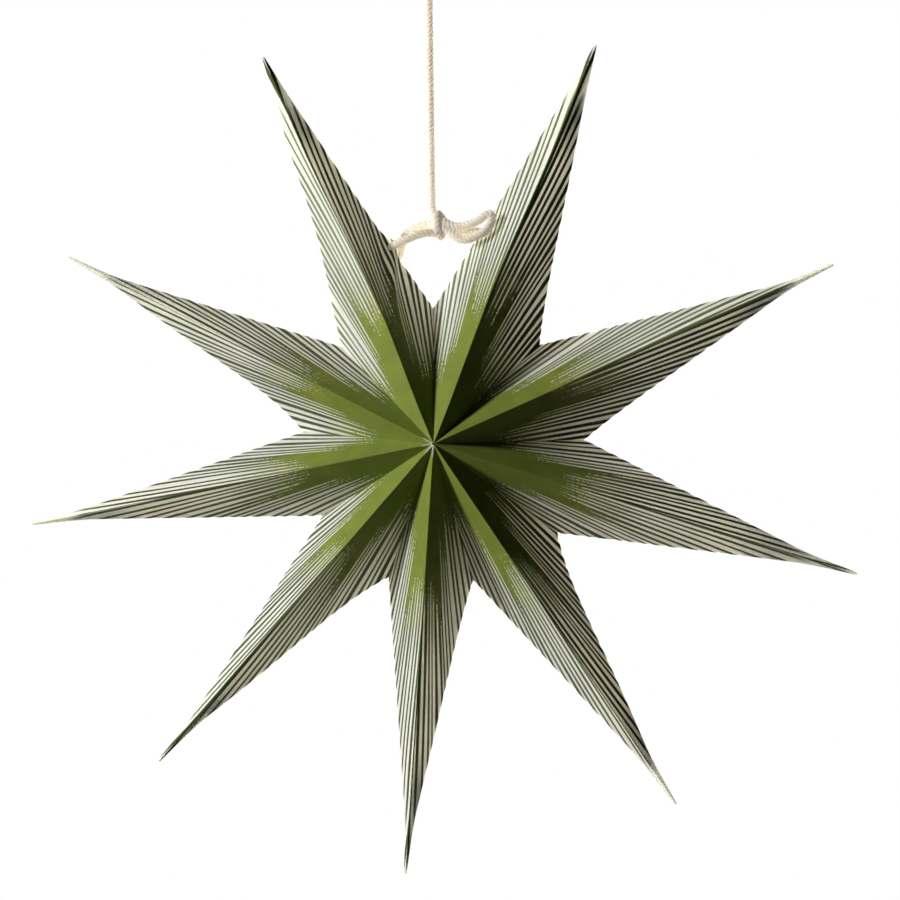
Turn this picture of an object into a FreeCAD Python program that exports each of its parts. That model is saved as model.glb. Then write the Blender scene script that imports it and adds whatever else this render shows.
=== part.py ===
"""Folded paper star with nine points, hung from one cotton cord.

Nine sheets, each folded into a hollow four-sided point, are glued side by side along their
inner edges. The ring closes between the first and the last point with a strip of tape, and
the cord is tied through a punched hole in each of those two.

Millimetres, +Z up. The front of the star faces -Y and its points lie in the XZ plane. The
origin is where a hook carries the hanging loop, and the cord hangs plumb below it.
"""

import FreeCAD, Part
import math
import os

Vector = FreeCAD.Vector

# Where the middle of the star hangs, seen from the hook
STAR_RIGHT = 5.0
STAR_DROP = 366.0

# The main sizes: how far a point reaches from the middle, how far out its notches lie, and
# how wide half of it still is where its needle starts
REACH = 300.0
NOTCH_DISTANCE = 99.0
NEEDLE_HALF_WIDTH = 3.0

# Each point, clockwise from the upper left: the direction of its tip in degrees from +X
# towards +Z, and what its own reach and needle add to the main sizes
POINT_LAYOUT = (
    (113.9, 5.0, 2.5),
    (68.3, 3.5, 3.0),
    (24.2, 2.5, -0.2),
    (-17.6, 3.0, 0.6),
    (-57.2, -2.5, 0.2),
    (-95.4, -1.5, 0.0),
    (-132.8, -3.5, -0.2),
    (-170.3, -5.0, 0.4),
    (-207.8, -2.0, -0.4),
)
POINTS = [
    (angle, REACH + farther, NEEDLE_HALF_WIDTH + wider)
    for angle, farther, wider in POINT_LAYOUT
]

# The notch that follows each point, clockwise: its direction and what it adds to the
# main distance
NOTCH_LAYOUT = (
    (92.5, -0.5),
    (45.4, 1.0),
    (2.4, 2.0),
    (-36.8, 2.5),
    (-76.9, -3.5),
    (-112.7, -1.0),
    (-150.9, -3.0),
    (-187.5, -1.0),
    (-226.2, 1.0),
)
NOTCHES = [(angle, NOTCH_DISTANCE + farther) for angle, farther in NOTCH_LAYOUT]

# The paper and its folds
HALF_DEPTH = 60.0
PAPER = 0.4
FLANGE = 9.0
MIDDLE_HOLE_RADIUS = 1.25
NEEDLE_LENGTH = 36.0
NEEDLE_HALF_DEPTH = 7.4
TIP_HALF_WIDTH = 0.9
TIP_HALF_DEPTH = 0.9
PRESSED_TIP = 12.0

# The tape that closes the ring
TAPE = 0.3
TAPE_WIDTH = 7.0

# The punched holes: how far along the crease from the notch, and how far inside the crease
HOLE_RADIUS = 3.2
FIRST_HOLE_ALONG = 48.5
FIRST_HOLE_INSET = 4.0
LAST_HOLE_ALONG = 64.0
LAST_HOLE_INSET = 4.5

# The cord and its knots
CORD = 5.0
ARC_SHARE = 0.45
TIE_KNOT_AT = (5.7, -1.0, -209.7)
TIE_KNOT_RADIUS = 6.0
TIE_KNOT_HALF_HEIGHT = 10.5
LOOP_KNOT_AT = (0.0, 0.0, -37.0)
LOOP_KNOT_RADIUS = 6.0
LOOP_KNOT_HALF_HEIGHT = 7.5
STOP_KNOT_AT = (45.5, 0.0, -221.0)
STOP_KNOT_RADIUS = 4.5

# Each stretch of the cord from knot to knot, as points in the part's own frame
HANGING_CORD = (
    (4.8, -2.0, -207.0),
    (1.5, -0.5, -200.3),
    (0.2, 0.0, -193.9),
    (0.0, 0.0, -40.0),
)
HANGING_LOOP = (
    (-2.0, 0.0, -34.0),
    (-7.5, 0.0, -21.0),
    (-9.5, 0.0, -7.5),
    (-6.5, 0.0, 2.5),
    (6.5, 0.0, 2.5),
    (9.5, 0.0, -7.5),
    (7.5, 0.0, -21.0),
    (2.0, 0.0, -34.0),
)
TIE_CORD_LEFT = (
    (4.1, -4.0, -215.0),
    (-0.6, -6.0, -216.2),
    (-8.2, -9.0, -217.4),
    (-16.5, -11.5, -220.8),
    (-23.3, -13.5, -225.0),
    (-28.0, -12.0, -228.6),
    (-30.0, -7.0, -229.7),
    (-30.6, 0.0, -230.1),
    (-30.0, 7.0, -229.7),
    (-28.0, 12.0, -228.8),
    (-24.0, 14.0, -225.0),
    (-19.5, 12.5, -219.3),
    (-15.5, 10.0, -214.5),
    (-8.5, 7.0, -209.0),
    (-1.5, 5.0, -207.0),
    (3.6, 3.0, -207.8),
)
TIE_CORD_RIGHT = (
    (7.8, 3.0, -210.7),
    (14.1, 4.5, -212.9),
    (21.0, 7.0, -214.2),
    (28.5, 10.4, -214.0),
    (32.1, 12.4, -214.5),
    (36.0, 11.7, -215.2),
    (38.8, 8.8, -215.8),
    (39.4, 4.6, -216.3),
    (41.6, 0.9, -218.0),
    (45.5, 0.0, -221.0),
)
BOW_LOOP = (
    (8.6, -6.0, -207.3),
    (15.1, -8.0, -210.0),
    (22.3, -10.5, -209.3),
    (30.9, -12.5, -207.2),
    (38.7, -14.5, -204.4),
    (44.2, -15.5, -203.2),
    (48.6, -16.0, -208.0),
    (45.8, -16.0, -214.2),
    (39.4, -15.0, -218.6),
    (30.7, -12.5, -221.3),
    (22.2, -10.5, -220.9),
    (15.0, -8.0, -217.0),
    (8.8, -5.0, -213.2),
)

COUNT = len(POINTS)
FRONT = Vector(0, -HALF_DEPTH, 0)
BACK = Vector(0, HALF_DEPTH, 0)
TOWARDS_BACK = Vector(0, 1, 0)
STAR_PLACE = Vector(STAR_RIGHT, 0, -STAR_DROP)


def direction(degrees):
    """The unit vector in the star's plane at an angle from +X towards +Z."""
    turn = math.radians(degrees)
    return Vector(math.cos(turn), 0, math.sin(turn))


def notch_before(index):
    angle, distance = NOTCHES[index - 1]
    return direction(angle) * distance


def notch_after(index):
    angle, distance = NOTCHES[index]
    return direction(angle) * distance


def normal(a, b, c):
    """The unit normal of the face through three places."""
    across = (b - a).cross(c - a)
    return across.normalize()


def facet(*places):
    return Part.Face(Part.makePolygon(list(places) + [places[0]]))


def solid_of(facets):
    solid = Part.Solid(Part.Shell(facets))
    if solid.Volume < 0:
        solid.reverse()
    return solid


def band(ring, following):
    """The faces between two rings of four corners: front, one side, back, other side."""
    faces = []
    for side in range(4):
        beside = (side + 1) % 4
        ridge, crease = (side, beside) if side % 2 == 0 else (beside, side)
        faces.append(facet(ring[ridge], ring[crease], following[crease]))
        faces.append(facet(ring[ridge], following[crease], following[ridge]))
    return faces


def rings(index):
    """The four corners of a point at its root, where its needle starts and at its tip."""
    angle, reach, needle_half_width = POINTS[index]
    out = direction(angle)
    aside = out.cross(TOWARDS_BACK)
    root = [FRONT, notch_before(index), BACK, notch_after(index)]
    side = 1 if (root[1] - root[3]).dot(aside) > 0 else -1

    def ring(distance, half_width, half_depth):
        middle = out * distance
        wide = aside * (side * half_width)
        deep = TOWARDS_BACK * half_depth
        return [middle - deep, middle + wide, middle + deep, middle - wide]

    needle = ring(reach - NEEDLE_LENGTH, needle_half_width, NEEDLE_HALF_DEPTH)
    tip = ring(reach, TIP_HALF_WIDTH, TIP_HALF_DEPTH)
    return root, needle, tip


def moved_in(ring, following, inwards):
    """A ring's corners, each moved inwards until the paper's thickness lies outside it."""
    corners = []
    for number in range(4):
        walls = []
        for beside in ((number + 1) % 4, (number - 1) % 4):
            walls.append(normal(ring[number], ring[beside], following[number]))
        step = max(PAPER / abs(wall.dot(inwards[number])) for wall in walls)
        corners.append(ring[number] + inwards[number] * step)
    return corners


def hollow(index):
    """The space inside a folded point, open at its root."""
    angle, reach, _ = POINTS[index]
    root, needle, tip = rings(index)
    middle = direction(angle) * (reach - NEEDLE_LENGTH)
    to_axis = [(Vector(0, 0, 0) - corner).normalize() for corner in root]
    to_middle = [(middle - corner).normalize() for corner in needle]
    inner_root = moved_in(root, needle, to_axis)
    inner_needle = moved_in(needle, tip, to_middle)
    closed = direction(angle) * (reach - PRESSED_TIP)
    faces = [
        facet(inner_root[0], inner_root[1], inner_root[2]),
        facet(inner_root[0], inner_root[2], inner_root[3]),
    ]
    faces += band(inner_root, inner_needle)
    for side in range(4):
        faces.append(facet(inner_needle[side], inner_needle[(side + 1) % 4], closed))
    return solid_of(faces)


def block(index):
    """The outside of a folded point as one solid."""
    root, needle, tip = rings(index)
    faces = [facet(root[0], root[1], root[2]), facet(root[0], root[2], root[3])]
    faces += band(root, needle) + band(needle, tip)
    faces += [facet(tip[0], tip[1], tip[2]), facet(tip[0], tip[2], tip[3])]
    return solid_of(faces)


def glued_strip(notch, width):
    """The V of paper along the inner edges of a point, from the front over the notch to the back."""
    slope = math.atan2(HALF_DEPTH, notch.Length)
    along = Vector(notch).normalize()
    inner_depth = HALF_DEPTH - width / math.cos(slope)
    inner_notch = along * (notch.Length - width / math.sin(slope))
    inner_front = TOWARDS_BACK * -inner_depth
    inner_back = TOWARDS_BACK * inner_depth
    return facet(FRONT, notch, BACK, inner_back, inner_notch, inner_front)


def flange(notch, inside):
    """The glued strip as a layer of paper, on the side of the notch where inside lies."""
    across = Vector(notch).normalize().cross(TOWARDS_BACK)
    if (inside - notch).dot(across) < 0:
        across = across * -1
    return glued_strip(notch, FLANGE).extrude(across * PAPER)


def tape_gap():
    """The narrow gap that the tape keeps between the first and the last point."""
    notch = notch_after(0)
    along = Vector(notch).normalize()
    across = along.cross(TOWARDS_BACK)
    length = POINTS[0][1]
    depth = 2 * HALF_DEPTH
    corner = across * (-TAPE / 2) - TOWARDS_BACK * depth
    face = facet(
        corner,
        corner + along * length,
        corner + along * length + TOWARDS_BACK * (2 * depth),
        corner + TOWARDS_BACK * (2 * depth),
    )
    return face.extrude(across * TAPE)


def closing_tape():
    notch = notch_after(0)
    across = Vector(notch).normalize().cross(TOWARDS_BACK)
    strip = glued_strip(notch, TAPE_WIDTH)
    strip.translate(across * (-TAPE / 2))
    return strip.extrude(across * TAPE)


def middle_hole():
    """The small hole where the trimmed corners of all nine sheets meet."""
    depth = 2 * HALF_DEPTH
    return Part.makeCylinder(MIDDLE_HOLE_RADIUS, 2 * depth, Vector(0, -depth, 0), TOWARDS_BACK)


def hole_place(index, along, inset):
    """A place beside the crease that faces the gap between the first and the last point."""
    root, needle, _ = rings(index)
    notch = notch_after(0)
    number = 1 if (root[1] - notch).Length < (root[3] - notch).Length else 3
    crease = (needle[number] - root[number]).normalize()
    inwards = crease.cross(TOWARDS_BACK)
    if inwards.dot(direction(POINTS[index][0]) * POINTS[index][1] / 2 - notch) < 0:
        inwards = inwards * -1
    return notch + crease * along + inwards * inset


def punched(place):
    depth = 2 * HALF_DEPTH
    start = place - TOWARDS_BACK * depth
    return Part.makeCylinder(HOLE_RADIUS, 2 * depth, start, TOWARDS_BACK)


def folded_point(index):
    """One sheet, folded into a hollow point with a glued flange along each inner edge."""
    inside = direction(POINTS[index][0]) * NOTCHES[index][1]
    sheet = block(index).cut(hollow(index))
    for notch in (notch_before(index), notch_after(index)):
        sheet = sheet.fuse(flange(notch, inside))
    sheet = sheet.cut(middle_hole())
    if index == 0:
        sheet = sheet.cut(tape_gap())
        sheet = sheet.cut(punched(hole_place(index, FIRST_HOLE_ALONG, FIRST_HOLE_INSET)))
    if index == 1:
        sheet = sheet.cut(tape_gap())
        sheet = sheet.cut(punched(hole_place(index, LAST_HOLE_ALONG, LAST_HOLE_INSET)))
    return sheet


def cord_tube(name, route):
    """A round cord along straight runs that are joined by tangent arcs."""
    places = [Vector(*place) for place in route]
    edges = []
    start = places[0]
    radii = []
    for before, corner, after in zip(places, places[1:], places[2:]):
        coming = (corner - before).normalize()
        leaving = (after - corner).normalize()
        turn = math.acos(max(-1.0, min(1.0, coming.dot(leaving))))
        trim = ARC_SHARE * min((corner - before).Length, (after - corner).Length)
        radius = trim / math.tan(turn / 2)
        radii.append(radius)
        first = corner - coming * trim
        last = corner + leaving * trim
        towards = (leaving - coming).normalize()
        centre = corner + towards * math.hypot(radius, trim)
        middle = centre - towards * radius
        edges.append(Part.LineSegment(start, first).toShape())
        edges.append(Part.Arc(first, middle, last).toShape())
        start = last
    edges.append(Part.LineSegment(start, places[-1]).toShape())
    path = Part.Wire(edges)
    heading = (places[1] - places[0]).normalize()
    ring = Part.Wire([Part.makeCircle(CORD / 2, places[0], heading)])
    tube = path.makePipeShell([ring], True, True)
    expected = path.Length * math.pi * CORD * CORD / 4
    listed = ", ".join(f"{radius:.1f}" for radius in radii)
    print(f"{name}: {path.Length:.1f} mm long, volume {tube.Volume / expected:.4f} of expected,")
    print(f"  arc radii {listed}")
    return tube


def knot(place, radius, half_height):
    """A knot as a plain egg shape, standing along Z."""
    egg = Part.makeSphere(radius)
    stretch = FreeCAD.Matrix()
    stretch.scale(1, 1, half_height / radius)
    egg = egg.transformGeometry(stretch)
    egg.translate(Vector(*place))
    return egg


def save(name, shape):
    print(f"{name}: {len(shape.Solids)} solid, valid {shape.isValid()}, {shape.Volume:.0f} mm3")
    shape.exportStep(f"parts/{name}.step")


def main():
    os.makedirs("parts", exist_ok=True)
    for index in range(COUNT):
        sheet = folded_point(index)
        sheet.translate(STAR_PLACE)
        save(f"point_{index + 1}", sheet)
    tape = closing_tape().cut(middle_hole())
    tape.translate(STAR_PLACE)
    save("closing_tape", tape)

    tie_knot = knot(TIE_KNOT_AT, TIE_KNOT_RADIUS, TIE_KNOT_HALF_HEIGHT)
    loop_knot = knot(LOOP_KNOT_AT, LOOP_KNOT_RADIUS, LOOP_KNOT_HALF_HEIGHT)
    stop_knot = knot(STOP_KNOT_AT, STOP_KNOT_RADIUS, STOP_KNOT_RADIUS)
    save("tie_knot", tie_knot)
    save("loop_knot", loop_knot)
    save("stop_knot", stop_knot)
    knots = tie_knot.fuse([loop_knot, stop_knot])
    stretches = {
        "hanging_cord": HANGING_CORD,
        "hanging_loop": HANGING_LOOP,
        "tie_cord_left": TIE_CORD_LEFT,
        "tie_cord_right": TIE_CORD_RIGHT,
        "bow_loop": BOW_LOOP,
    }
    for name, route in stretches.items():
        save(name, cord_tube(name, route).cut(knots))

    for index, along, inset in (
        (0, FIRST_HOLE_ALONG, FIRST_HOLE_INSET),
        (1, LAST_HOLE_ALONG, LAST_HOLE_INSET),
    ):
        place = hole_place(index, along, inset) + STAR_PLACE
        print(f"hole in point {index + 1} at x {place.x:.1f}, z {place.z:.1f}")


main()
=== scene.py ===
# %% [markdown]
# A folded paper star, hung from a cotton cord. The real one is nine sheets of thick cotton
# paper, each printed with stripes, folded into a hollow point and glued to its neighbours.
# The solids of the part give every place and size. This lesson dresses them: finer folded
# sheets with the print on them, twisted cord that follows the cord's routes, and the light.

# %% Load the solids
import math

import bmesh
import bpy
from mathutils import Matrix, Vector


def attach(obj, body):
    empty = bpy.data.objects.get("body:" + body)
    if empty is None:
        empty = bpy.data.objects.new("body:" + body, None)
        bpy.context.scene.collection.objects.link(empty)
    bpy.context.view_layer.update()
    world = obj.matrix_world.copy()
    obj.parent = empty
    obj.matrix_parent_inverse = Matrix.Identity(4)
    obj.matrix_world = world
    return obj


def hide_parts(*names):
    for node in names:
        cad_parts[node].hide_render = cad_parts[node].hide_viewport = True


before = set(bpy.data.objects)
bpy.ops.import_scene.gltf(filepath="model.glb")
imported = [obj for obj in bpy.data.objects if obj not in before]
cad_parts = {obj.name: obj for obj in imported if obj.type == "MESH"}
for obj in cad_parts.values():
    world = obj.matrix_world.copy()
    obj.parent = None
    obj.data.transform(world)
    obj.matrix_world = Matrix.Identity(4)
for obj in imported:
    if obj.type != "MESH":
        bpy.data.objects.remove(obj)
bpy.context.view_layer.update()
MM = 0.001

# %% [markdown]
# A node tree is easier to read as sums than as wires. One small class holds a socket and
# turns +, -, * and / into Math nodes. A second class holds the tree and makes every other
# node by one method: its type, its settings, then the values or links of its sockets. Three
# functions start and end a material, and let lamp light through it.

# %% Write node trees as sums
class Value:
    """The output of a node, which can be used in sums."""

    def __init__(self, recipe, socket):
        self.recipe = recipe
        self.socket = socket

    def __add__(self, other):
        return self.recipe.math("ADD", self, other)

    def __sub__(self, other):
        return self.recipe.math("SUBTRACT", self, other)

    def __rsub__(self, other):
        return self.recipe.math("SUBTRACT", other, self)

    def __mul__(self, other):
        return self.recipe.math("MULTIPLY", self, other)

    def __truediv__(self, other):
        return self.recipe.math("DIVIDE", self, other)

    __radd__ = __add__
    __rmul__ = __mul__


class Recipe:
    """A node tree and short names for the nodes that it is made of."""

    def __init__(self, tree):
        self.tree = tree

    def put(self, kind, settings=None, sockets=None, out=0):
        """Adds a node and returns one of its outputs."""
        node = self.tree.nodes.new(kind)
        for name, setting in (settings or {}).items():
            setattr(node, name, setting)
        for key, given in (sockets or {}).items():
            if isinstance(given, Value):
                self.tree.links.new(given.socket, node.inputs[key])
            else:
                node.inputs[key].default_value = given
        if out is None:
            return node
        return Value(self, node.outputs[out])

    def math(self, operation, *terms):
        return self.put("ShaderNodeMath", {"operation": operation}, dict(enumerate(terms)))

    def step(self, value, low, high):
        """0 below low, 1 above high and a smooth rise between them."""
        sockets = {"Value": value, "From Min": low, "From Max": high}
        return self.put("ShaderNodeMapRange", {"interpolation_type": "SMOOTHSTEP"}, sockets)

    def attribute(self, name):
        return self.put("ShaderNodeAttribute", {"attribute_name": name}, None, "Fac")

    def vector(self, x, y, z):
        return self.put("ShaderNodeCombineXYZ", None, {"X": x, "Y": y, "Z": z})

    def noise(self, vector, scale=1.0, detail=2.0):
        """Soft random patches, about 0.2 to 0.8 and 0.5 in the middle."""
        sockets = {"Vector": vector, "Scale": scale, "Detail": detail}
        return self.put("ShaderNodeTexNoise", None, sockets)

    def blend(self, share, first, second):
        """A colour between two colours."""
        sockets = {"Factor": share, "A": first, "B": second}
        return self.put("ShaderNodeMix", {"data_type": "RGBA"}, sockets, "Result")


def new_material(name):
    """A material with an empty node tree, and the recipe that fills the tree."""
    material = bpy.data.materials.new(name)
    material.use_nodes = True
    material.node_tree.nodes.clear()
    return material, Recipe(material.node_tree)


def finish_material(recipe, surface):
    recipe.put("ShaderNodeOutputMaterial", None, {"Surface": surface}, None)


def let_light_through(recipe, surface, share, tint):
    """Lets a share of each lamp's light pass, so that what lies behind is lit too."""
    path = recipe.put("ShaderNodeLightPath", out=None)
    lamp_ray = Value(recipe, path.outputs["Is Shadow Ray"])
    passing = recipe.put("ShaderNodeBsdfTransparent", None, {"Color": tint})
    return recipe.put("ShaderNodeMixShader", None, {0: lamp_ray * share, 1: surface, 2: passing})


def colour(red, green, blue):
    """An RGBA colour from screen values of 0 to 255."""
    linear = []
    for part in (red, green, blue):
        share = part / 255
        linear.append(share / 12.92 if share <= 0.04045 else ((share + 0.055) / 1.055) ** 2.4)
    return (*linear, 1.0)


# %% [markdown]
# The star's sizes. They are the ones that the part's solids were made from, so that the
# finer sheets lie where the solids lie. Only the needles are flatter, 4.8 mm deep by half for
# the solids' 7.4 mm, as their pale faces in the photo ask. Each point has the direction of its
# tip in degrees from +X towards +Z, its reach and how wide half of it is where its thin needle
# starts. Each notch follows its point clockwise and has a direction and a distance.

# %% The sizes of the star
STAR_PLACE = Vector((5.0, 0.0, -366.0)) * MM
POINTS = (
    (113.9, 305.0, 5.5),
    (68.3, 303.5, 6.0),
    (24.2, 302.5, 2.8),
    (-17.6, 303.0, 3.6),
    (-57.2, 297.5, 3.2),
    (-95.4, 298.5, 3.0),
    (-132.8, 296.5, 2.8),
    (-170.3, 295.0, 3.4),
    (-207.8, 298.0, 2.6),
)
NOTCHES = (
    (92.5, 98.5),
    (45.4, 100.0),
    (2.4, 101.0),
    (-36.8, 101.5),
    (-76.9, 95.5),
    (-112.7, 98.0),
    (-150.9, 96.0),
    (-187.5, 98.0),
    (-226.2, 100.0),
)
HALF_DEPTH = 60.0 * MM
PAPER = 0.4 * MM
FLANGE = 9.0 * MM
NEEDLE_LENGTH = 36.0 * MM
NEEDLE_HALF_DEPTH = 4.8 * MM
TIP_HALF_WIDTH = 0.9 * MM
TIP_HALF_DEPTH = 0.9 * MM
HOLE_RADIUS = 3.2 * MM
HOLES = {
    1: ((-29.5, -229.4, 0.1), (-27.6, -223.6, 0.0)),
    2: ((39.0, -216.1, 0.0),),
}
TOWARDS_BACK = Vector((0, 1, 0))


def direction(degrees):
    """The unit vector in the star's plane at an angle from +X towards +Z."""
    turn = math.radians(degrees)
    return Vector((math.cos(turn), 0, math.sin(turn)))


def notch(index):
    angle, distance = NOTCHES[index]
    return direction(angle) * distance * MM


print("the star has", len(POINTS), "points")

# %% [markdown]
# The camera stands a little to the right of the star and a little below it, 2.4 m away, with
# a long lens. The cord hangs plumb, and the picture is turned by a small angle, so the camera
# is rolled by as much.

# %% Set the camera
CAMERA_YAW = math.radians(4.73)
CAMERA_PITCH = math.radians(2.74)
CAMERA_ROLL = math.radians(0.6)
CAMERA_DISTANCE = 2.4
SENSOR = 36.0
PICTURE = 900
LENS_PIXELS = 3418.7
STAR_PIXEL = (440.94, 447.82)

scene = bpy.context.scene
scene.view_settings.view_transform = "Standard"


def add_camera():
    """Looks at the place that lies in the middle of the picture."""
    back = Vector((
        math.sin(CAMERA_YAW) * math.cos(CAMERA_PITCH),
        -math.cos(CAMERA_YAW) * math.cos(CAMERA_PITCH),
        -math.sin(CAMERA_PITCH),
    ))
    right = Vector((0, 0, 1)).cross(back).normalized()
    up = back.cross(right)
    data = bpy.data.cameras.new("camera")
    data.sensor_width = SENSOR
    data.lens = LENS_PIXELS * SENSOR / PICTURE
    camera = bpy.data.objects.new("camera", data)
    scene.collection.objects.link(camera)
    rolled_right = right * math.cos(CAMERA_ROLL) - up * math.sin(CAMERA_ROLL)
    rolled_up = up * math.cos(CAMERA_ROLL) + right * math.sin(CAMERA_ROLL)
    per_pixel = CAMERA_DISTANCE / LENS_PIXELS
    aside = (PICTURE / 2 - STAR_PIXEL[0]) * per_pixel
    below = (PICTURE / 2 - STAR_PIXEL[1]) * per_pixel
    camera.location = (
        STAR_PLACE + back * CAMERA_DISTANCE + rolled_right * aside - rolled_up * below
    )
    turn = Matrix((rolled_right, rolled_up, back)).transposed()
    camera.rotation_mode = "QUATERNION"
    camera.rotation_quaternion = turn.to_quaternion()
    scene.camera = camera
    return camera


camera = add_camera()
print("the camera stands at", [round(place, 3) for place in camera.location])

# %% [markdown]
# The light. A lamp at the left and a little above lights the faces that turn that way and
# leaves the others dark, and the ridges throw their shadows to the right. A wide soft lamp
# behind the star shines through the paper wherever that is bare. The backdrop is a wall far
# behind the star, farther than a camera stands that looks at the back. The camera sees it as
# plain white, and it throws back little light, because the shaded faces of the real star are
# nearly black.

# %% Light the star
KEY_TURN = math.radians(162)
KEY_RISE = math.radians(31)
KEY_DISTANCE = 2.6
KEY_SIZE = 0.35
KEY_POWER = 59.5
BACK_DISTANCE = 1.3
BACK_SIZE = 1.6
BACK_POWER = 66.0
BACK_TINT = (1.0, 0.98, 0.90)
ROOM_LIGHT = 0.01
WALL_BEHIND = 4.6
WALL_BEND = 0.4
WALL_HEIGHT = 3.2
WALL_GREY = colour(74, 74, 73)
FLOOR_BELOW = 1.1
FLOOR_FRONT = -2.6
STAGE_HALF_WIDTH = 3.0


def add_lamp(name, place, target, size, power, tint=(1, 1, 1)):
    data = bpy.data.lights.new(name, "AREA")
    data.shape = "DISK"
    data.size = size
    data.energy = power
    data.color = tint
    lamp = bpy.data.objects.new(name, data)
    lamp.location = place
    lamp.rotation_mode = "QUATERNION"
    lamp.rotation_quaternion = (target - place).to_track_quat("-Z", "Y")
    scene.collection.objects.link(lamp)
    return lamp


towards_key = Vector((
    math.cos(KEY_RISE) * math.cos(KEY_TURN),
    -math.sin(KEY_RISE),
    math.cos(KEY_RISE) * math.sin(KEY_TURN),
))
add_lamp("key", STAR_PLACE + towards_key * KEY_DISTANCE, STAR_PLACE, KEY_SIZE, KEY_POWER)
back_place = STAR_PLACE + Vector((0, BACK_DISTANCE, 0))
behind = add_lamp("back", back_place, STAR_PLACE, BACK_SIZE, BACK_POWER, BACK_TINT)
behind.visible_camera = False


def white_to_camera(recipe, shader):
    """Mixes a shader with plain white for rays from the camera and for reflections."""
    path = recipe.put("ShaderNodeLightPath", out=None)
    seen = Value(recipe, path.outputs["Is Camera Ray"])
    mirrored = Value(recipe, path.outputs["Is Glossy Ray"])
    through = Value(recipe, path.outputs["Is Transmission Ray"])
    shown = recipe.math("MAXIMUM", recipe.math("MAXIMUM", seen, mirrored), through)
    plain = recipe.put("ShaderNodeEmission", None, {"Strength": 1.0})
    return recipe.put("ShaderNodeMixShader", None, {0: shown, 1: shader, 2: plain})


def set_world():
    world = bpy.data.worlds.new("room")
    world.use_nodes = True
    scene.world = world
    recipe = Recipe(world.node_tree)
    world.node_tree.nodes.clear()
    dim = recipe.put("ShaderNodeBackground", None, {"Strength": ROOM_LIGHT})
    path = recipe.put("ShaderNodeLightPath", out=None)
    seen = Value(recipe, path.outputs["Is Camera Ray"])
    white = recipe.put("ShaderNodeBackground", None, {"Color": (1, 1, 1, 1), "Strength": 1.0})
    both = recipe.put("ShaderNodeMixShader", None, {0: seen, 1: dim, 2: white})
    recipe.put("ShaderNodeOutputWorld", None, {"Surface": both}, None)


def add_stage():
    """One sheet: a floor far below the star that runs up into a wall behind it."""
    half = STAGE_HALF_WIDTH
    floor_height = STAR_PLACE.z - FLOOR_BELOW
    floor_end = WALL_BEHIND - WALL_BEND
    profile = [(FLOOR_FRONT, floor_height), (floor_end, floor_height)]
    for number in range(1, 7):
        turn = math.radians(15 * number)
        deep = floor_end + WALL_BEND * math.sin(turn)
        profile.append((deep, floor_height + WALL_BEND - WALL_BEND * math.cos(turn)))
    profile.append((WALL_BEHIND, floor_height + WALL_HEIGHT))
    mesh = bpy.data.meshes.new("stage")
    vertices = []
    for deep, high in profile:
        vertices += [(-half, deep, high), (half, deep, high)]
    faces = [(2 * n, 2 * n + 1, 2 * n + 3, 2 * n + 2) for n in range(len(profile) - 1)]
    mesh.from_pydata(vertices, [], faces)
    stage = bpy.data.objects.new("stage", mesh)
    scene.collection.objects.link(stage)
    material, recipe = new_material("wall")
    matt = recipe.put("ShaderNodeBsdfDiffuse", None, {"Color": WALL_GREY})
    finish_material(recipe, white_to_camera(recipe, matt))
    mesh.materials.append(material)


set_world()
add_stage()
print("key light from", [round(part, 2) for part in towards_key])

# %% [markdown]
# Each point is one sheet. Its outer face is a grid for each of its four panels, from the
# valley line at its root to its tip, and from a ridge to a crease. A ridge or crease runs
# straight from the root and turns into the thin needle in a short bend, so it is two straight
# runs with a rounded corner. The flanges are the strips along the inner edges that are glued
# to the neighbours.

# %% Lay out the folded sheets
ROWS = 72
COLUMNS = 14
BEND_HALF = 14.0 * MM
CENTRE_GAP = 1.3 * MM
ROOT_POWER = 1.25


def along_fold(share, start, corner, end):
    """A place along two straight runs whose corner is rounded."""
    first = (corner - start).length
    second = (end - corner).length
    walked = share * (first + second)
    if walked <= first - BEND_HALF:
        return start.lerp(corner, walked / first)
    if walked >= first + BEND_HALF:
        return corner.lerp(end, (walked - first) / second)
    part = (walked - first + BEND_HALF) / (2 * BEND_HALF)
    before = corner - (corner - start).normalized() * BEND_HALF
    after = corner + (end - corner).normalized() * BEND_HALF
    return before.lerp(corner, part).lerp(corner.lerp(after, part), part)


def point_rings(index):
    """The four corners of a point at its root, at its needle and at its tip, as front,
    the side of the notch before it, back, and the side of the notch after it."""
    angle, reach, half_width = POINTS[index]
    reach, half_width = reach * MM, half_width * MM
    out = direction(angle)
    aside = out.cross(TOWARDS_BACK)
    before, after = notch(index - 1), notch(index)
    side = 1 if (before - after).dot(aside) > 0 else -1
    front = Vector((0, -HALF_DEPTH, 0))

    def ring(distance, wide, deep):
        middle = out * distance
        return [
            middle - TOWARDS_BACK * deep,
            middle + aside * side * wide,
            middle + TOWARDS_BACK * deep,
            middle - aside * side * wide,
        ]

    needle = ring(reach - NEEDLE_LENGTH, half_width, NEEDLE_HALF_DEPTH)
    tip = ring(reach, TIP_HALF_WIDTH, TIP_HALF_DEPTH)
    return [front, before, -front, after], needle, tip


print("rows and columns of a panel:", ROWS, COLUMNS)

# %% [markdown]
# Paper is never quite flat. Each panel gets a shallow swell of its own, none at its folds,
# so that the light runs unevenly over it. Some creases dip inwards soon after their notch, and
# the two top points lean a little on their way to the tip. The first point also has its paper
# pulled out where the cord goes through its hole. Lengths here are in millimetres, and each
# crease is named by its point and by the notch before (1) or after (3) that point.

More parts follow.
